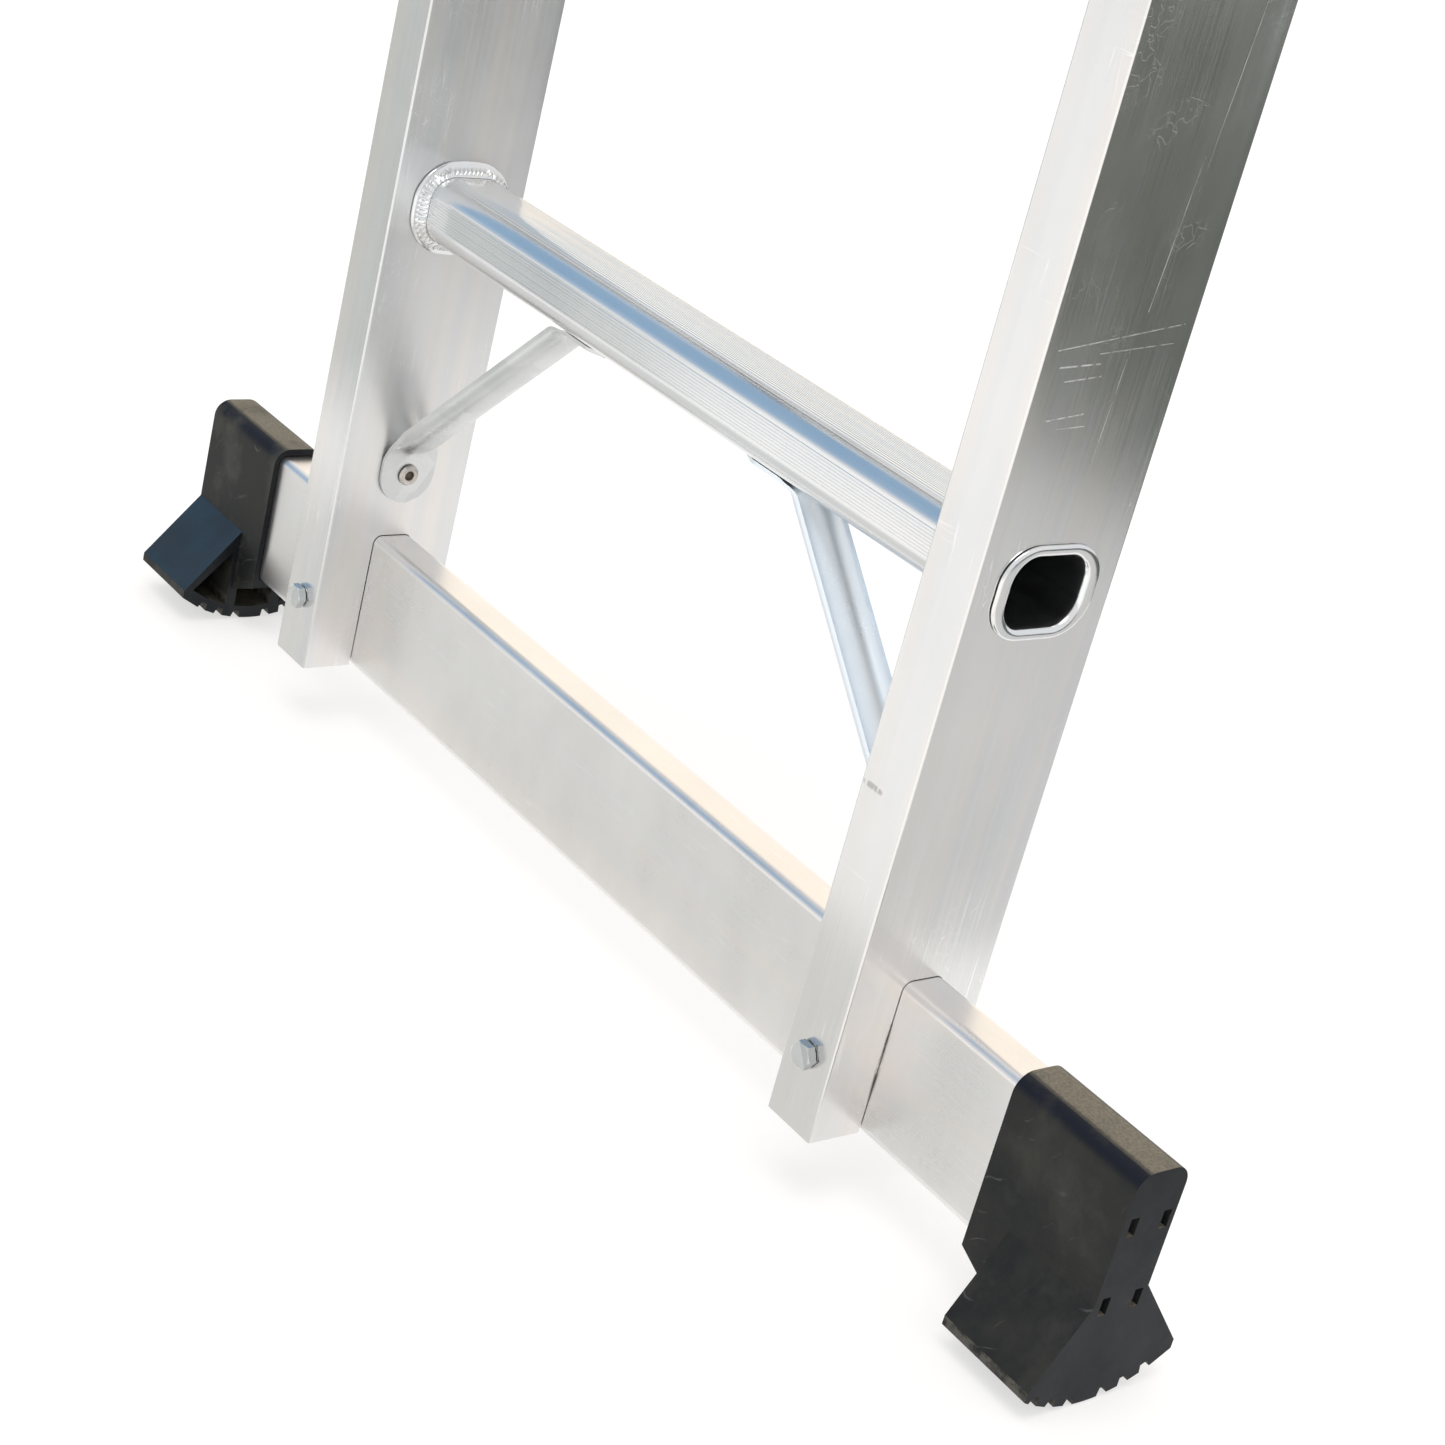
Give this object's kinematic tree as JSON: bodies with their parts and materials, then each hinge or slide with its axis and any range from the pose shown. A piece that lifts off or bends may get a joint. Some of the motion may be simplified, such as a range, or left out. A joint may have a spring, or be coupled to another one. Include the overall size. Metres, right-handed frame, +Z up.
{
  "type": "extension ladder",
  "caption": "Push-up extension ladder: a wide base section with a stabiliser bar and moulded feet, and a narrower fly section that slides up it and hooks on a rung.",
  "frame": {"origin": "on the ground half way between the two feet, under the middle of the base stiles' depth", "axes": "+X right along the rungs as the climber sees them, +Y away from the climber towards the wall, +Z up along the stiles"},
  "size_m": [0.679, 0.1532, 2.3293],
  "materials": {
    "stile_aluminium": "mill-finish extrusion, fine lengthwise die lines, scratches and grey smears",
    "rung_aluminium": "bright mill-finish extrusion with ribbed tread and front",
    "bar_aluminium": "mill-finish extrusion, smooth, faint mottling",
    "foot_rubber": "semi-matt black moulding, slightly scuffed",
    "cap_plastic": "black moulded plastic with a fine grain",
    "bolt_zinc": "bright zinc plating",
    "brace_steel": "pale blue zinc plating, satin",
    "rivet_steel": "bright rivet head with a darker bore",
    "guide_steel": "satin zinc plating",
    "hook_aluminium": "as-cast, slightly grainy",
    "latch_steel": "zinc plating, worn on the lever"
  },
  "bodies": {
    "base": {"right_base_stile": "stile_aluminium", "left_base_stile": "stile_aluminium", "base_rung_1": "rung_aluminium", "base_rung_2": "rung_aluminium", "base_rung_3": "rung_aluminium", "base_rung_4": "rung_aluminium", "base_rung_5": "rung_aluminium", "base_rung_6": "rung_aluminium", "base_rung_7": "rung_aluminium", "stabiliser_bar": "bar_aluminium", "right_foot": "foot_rubber", "left_foot": "foot_rubber", "right_base_top_cap": "cap_plastic", "left_base_top_cap": "cap_plastic", "right_bar_bolt": "bolt_zinc", "left_bar_bolt": "bolt_zinc", "right_bar_nut": "bolt_zinc", "left_bar_nut": "bolt_zinc", "right_brace": "brace_steel", "left_brace": "brace_steel", "right_brace_stile_rivet": "rivet_steel", "left_brace_stile_rivet": "rivet_steel", "right_brace_rung_rivet": "rivet_steel", "left_brace_rung_rivet": "rivet_steel", "right_upper_guide": "guide_steel", "left_upper_guide": "guide_steel", "right_upper_guide_rivet_1": "rivet_steel", "left_upper_guide_rivet_1": "rivet_steel", "right_upper_guide_rivet_2": "rivet_steel", "left_upper_guide_rivet_2": "rivet_steel"},
    "fly": {"right_fly_stile": "stile_aluminium", "left_fly_stile": "stile_aluminium", "fly_rung_1": "rung_aluminium", "fly_rung_2": "rung_aluminium", "fly_rung_3": "rung_aluminium", "fly_rung_4": "rung_aluminium", "fly_rung_5": "rung_aluminium", "fly_rung_6": "rung_aluminium", "fly_rung_7": "rung_aluminium", "right_fly_bottom_cap": "cap_plastic", "left_fly_bottom_cap": "cap_plastic", "right_fly_top_cap": "cap_plastic", "left_fly_top_cap": "cap_plastic", "right_lower_guide": "guide_steel", "left_lower_guide": "guide_steel", "right_hook": "hook_aluminium", "left_hook": "hook_aluminium", "right_hook_bolt_1": "bolt_zinc", "left_hook_bolt_1": "bolt_zinc", "right_hook_nut_1": "bolt_zinc", "left_hook_nut_1": "bolt_zinc", "right_hook_bolt_2": "bolt_zinc", "left_hook_bolt_2": "bolt_zinc", "right_hook_nut_2": "bolt_zinc", "left_hook_nut_2": "bolt_zinc", "right_latch_pin": "rivet_steel", "left_latch_pin": "rivet_steel"},
    "right_latch": {"right_latch": "latch_steel"},
    "left_latch": {"left_latch": "latch_steel"}
  },
  "joints": [
    {"name": "fly_slide", "type": "slide", "parent": "base", "child": "fly", "axis": [0, 0, 1], "range_m": [0, 0.84]},
    {"name": "right_latch_swing", "type": "hinge", "parent": "fly", "child": "right_latch", "pos_m": [0.1414, -0.029, 0.57], "axis": [1, 0, 0], "range_deg": [-22, 0]},
    {"name": "left_latch_swing", "type": "hinge", "parent": "fly", "child": "left_latch", "pos_m": [-0.1414, -0.029, 0.57], "axis": [1, 0, 0], "range_deg": [-22, 0]}
  ]
}
